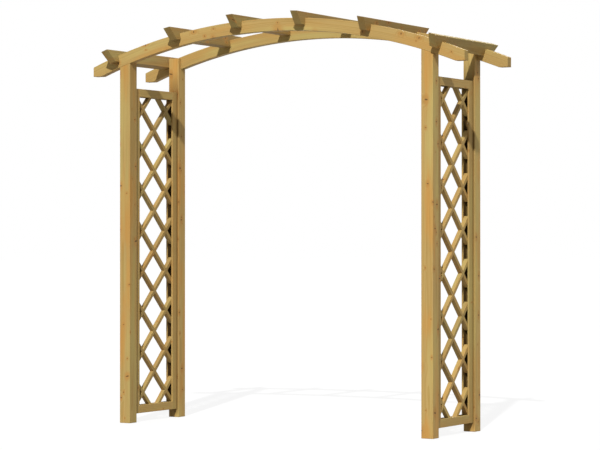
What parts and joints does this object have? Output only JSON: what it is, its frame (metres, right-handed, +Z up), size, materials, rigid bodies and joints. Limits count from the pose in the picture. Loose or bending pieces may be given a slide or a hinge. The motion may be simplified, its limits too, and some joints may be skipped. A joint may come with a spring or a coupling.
{
  "type": "garden arch",
  "caption": "Free-standing timber garden arch: square posts carry bowed front and rear beams with notched cross rafters, and framed diamond-lattice side panels hold climbing plants.",
  "frame": {"origin": "on the ground, midway between the four posts, at the bottom centre of the bounding box", "axes": "+X across the walkway along the beams, +Y through the walkway from front to rear, +Z up"},
  "size_m": [2.4, 0.767, 2.3083],
  "materials": {
    "structural_softwood": "planed, pressure treated",
    "frame_softwood": "planed, pressure treated",
    "lattice_softwood": "planed, pressure treated",
    "fixing_steel": "zinc plated"
  },
  "bodies": {
    "root": {"beam_screws": "fixing_steel", "front_beam": "structural_softwood", "front_left_post": "structural_softwood", "front_right_post": "structural_softwood", "lattice_brads": "fixing_steel", "left_panel_bottom_rail": "frame_softwood", "left_panel_falling_bar_1": "lattice_softwood", "left_panel_falling_bar_2": "lattice_softwood", "left_panel_falling_bar_3": "lattice_softwood", "left_panel_falling_bar_4": "lattice_softwood", "left_panel_falling_bar_5": "lattice_softwood", "left_panel_falling_bar_6": "lattice_softwood", "left_panel_falling_bar_7": "lattice_softwood", "left_panel_falling_bar_8": "lattice_softwood", "left_panel_falling_bar_9": "lattice_softwood", "left_panel_front_stile": "frame_softwood", "left_panel_rear_stile": "frame_softwood", "left_panel_rising_bar_1": "lattice_softwood", "left_panel_rising_bar_2": "lattice_softwood", "left_panel_rising_bar_3": "lattice_softwood", "left_panel_rising_bar_4": "lattice_softwood", "left_panel_rising_bar_5": "lattice_softwood", "left_panel_rising_bar_6": "lattice_softwood", "left_panel_rising_bar_7": "lattice_softwood", "left_panel_rising_bar_8": "lattice_softwood", "left_panel_rising_bar_9": "lattice_softwood", "left_panel_top_rail": "frame_softwood", "panel_screws": "fixing_steel", "rafter_1": "structural_softwood", "rafter_2": "structural_softwood", "rafter_3": "structural_softwood", "rafter_4": "structural_softwood", "rafter_5": "structural_softwood", "rafter_6": "structural_softwood", "rafter_screws": "fixing_steel", "rear_beam": "structural_softwood", "rear_left_post": "structural_softwood", "rear_right_post": "structural_softwood", "right_panel_bottom_rail": "frame_softwood", "right_panel_falling_bar_1": "lattice_softwood", "right_panel_falling_bar_2": "lattice_softwood", "right_panel_falling_bar_3": "lattice_softwood", "right_panel_falling_bar_4": "lattice_softwood", "right_panel_falling_bar_5": "lattice_softwood", "right_panel_falling_bar_6": "lattice_softwood", "right_panel_falling_bar_7": "lattice_softwood", "right_panel_falling_bar_8": "lattice_softwood", "right_panel_falling_bar_9": "lattice_softwood", "right_panel_front_stile": "frame_softwood", "right_panel_rear_stile": "frame_softwood", "right_panel_rising_bar_1": "lattice_softwood", "right_panel_rising_bar_2": "lattice_softwood", "right_panel_rising_bar_3": "lattice_softwood", "right_panel_rising_bar_4": "lattice_softwood", "right_panel_rising_bar_5": "lattice_softwood", "right_panel_rising_bar_6": "lattice_softwood", "right_panel_rising_bar_7": "lattice_softwood", "right_panel_rising_bar_8": "lattice_softwood", "right_panel_rising_bar_9": "lattice_softwood", "right_panel_top_rail": "frame_softwood"}
  },
  "joints": []
}
